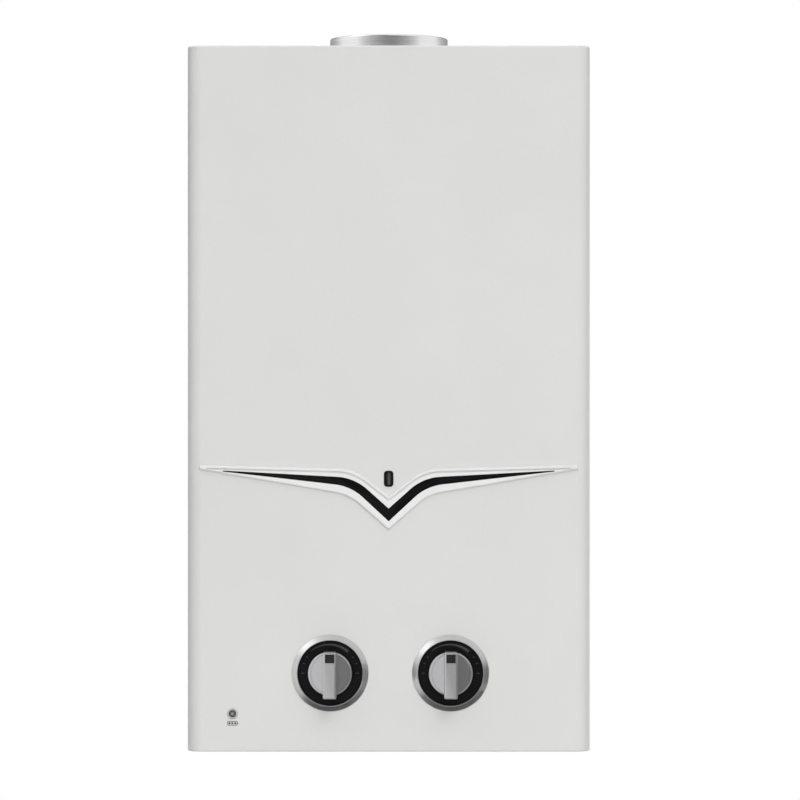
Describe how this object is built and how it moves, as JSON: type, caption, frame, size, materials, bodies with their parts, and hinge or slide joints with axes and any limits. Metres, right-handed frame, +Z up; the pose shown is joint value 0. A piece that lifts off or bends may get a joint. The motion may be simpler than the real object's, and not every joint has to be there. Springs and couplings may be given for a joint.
{
  "type": "gas water heater",
  "caption": "Wall-hung instantaneous gas water heater with a folded sheet cover, top flue collar, V trim, flame window, rotary gas and water knobs, battery ignition and pipe ends below.",
  "frame": {"origin": "centre of the rectangle of wall screw holes, on the wall plane, at the middle of the case's height", "axes": "+X right as seen from the front, +Y back into the wall, +Z up; the front faces -Y"},
  "size_m": [0.33, 0.184, 0.5905],
  "materials": {
    "cover_paint": "satin enamel",
    "galvanised": "galvanised sheet",
    "collar_steel": "bright rolled steel",
    "trim_white": "gloss",
    "inlay_black": "gloss",
    "black_plastic": "satin",
    "window_glass": "clear",
    "bright_ring": "plated plastic ring",
    "knob_silver": "silver satin",
    "lamp_red": "unlit lens",
    "brass": "machined",
    "cast_alloy": "die cast",
    "solenoid_blue": "painted coil can",
    "steel": "zinc plated",
    "burner_steel": "stainless sheet",
    "copper": "copper",
    "rubber_black": "moulded",
    "ceramic": "glazed",
    "lead_silicone": "silicone sleeve",
    "grey_plastic": "moulded",
    "cell_sleeve": "printed sleeve over a can"
  },
  "bodies": {
    "heater": {"battery_box": "grey_plastic", "battery_cells": "cell_sleeve", "battery_contacts": "brass", "bottom_plate": "galvanised", "burner_bars": "burner_steel", "burner_frame": "galvanised", "chassis_rivets": "galvanised", "cold_inlet": "brass", "cold_pipe": "copper", "cover_screws": "steel", "cover_tabs": "cover_paint", "dial_plates": "black_plastic", "diaphragm": "rubber_black", "diaphragm_cover": "cast_alloy", "draught_hood": "galvanised", "electrode_insulators": "ceramic", "electrode_leads": "lead_silicone", "electrode_wires": "steel", "exchanger_fins": "copper", "exchanger_shell": "copper", "exchanger_tubes": "copper", "flue_collar": "collar_steel", "front_cover": "cover_paint", "gas_inlet": "brass", "gas_jets": "brass", "gas_manifold": "cast_alloy", "gas_valve_body": "cast_alloy", "hot_outlet": "brass", "hot_pipe": "copper", "igniter_box": "grey_plastic", "knob_bezels": "bright_ring", "lamp_holder": "bright_ring", "lamp_lens": "lamp_red", "microswitch": "black_plastic", "overheat_thermostat": "steel", "pipe_unions": "brass", "poppet_spring": "steel", "rear_panel": "galvanised", "sight_frame": "black_plastic", "sight_glass": "window_glass", "solenoid_valve": "solenoid_blue", "spindle_glands": "brass", "spindle_seals": "rubber_black", "top_plate": "galvanised", "v_trim": "trim_white", "v_trim_inlay": "inlay_black", "valve_screws": "steel", "water_coil": "copper", "water_valve_body": "cast_alloy"},
    "gas_knob": {"gas_knob": "knob_silver", "gas_pointer": "black_plastic", "gas_spindle": "brass"},
    "water_knob": {"water_knob": "knob_silver", "water_pointer": "black_plastic", "water_spindle": "brass"},
    "valve_rod": {"push_rod": "steel", "gas_poppet": "rubber_black"},
    "plunger": {"switch_plunger": "grey_plastic"},
    "lid": {"battery_lid": "grey_plastic"},
    "drain": {"drain_plug": "brass"}
  },
  "joints": [
    {"name": "gas_knob_turn", "type": "hinge", "parent": "heater", "child": "gas_knob", "pos_m": [-0.0479, -0.16, -0.2245], "axis": [0, -1, 0], "range_deg": [-90, 90]},
    {"name": "water_knob_turn", "type": "hinge", "parent": "heater", "child": "water_knob", "pos_m": [0.0507, -0.16, -0.2245], "axis": [0, -1, 0], "range_deg": [-90, 90]},
    {"name": "valve_rod_slide", "type": "slide", "parent": "heater", "child": "valve_rod", "axis": [-1, 0, 0], "range_m": [0, 0.004], "stiffness_N_per_m": 800, "springref_m": -0.004, "deforming": ["poppet_spring"]},
    {"name": "plunger_slide", "type": "slide", "parent": "heater", "child": "plunger", "axis": [-1, 0, 0], "range_m": [0, 0.0016]},
    {"name": "battery_lid_hinge", "type": "hinge", "parent": "heater", "child": "lid", "pos_m": [-0.1375, -0.0893, -0.2675], "axis": [1, 0, 0], "range_deg": [0, 95]},
    {"name": "drain_plug_turn", "type": "hinge", "parent": "heater", "child": "drain", "pos_m": [0.0507, -0.118, -0.261], "axis": [0, 0, -1], "range_deg": [0, 720]}
  ],
  "couplings": [
    {"joint": "plunger_slide", "follows": "valve_rod_slide", "ratio": 0.4}
  ]
}
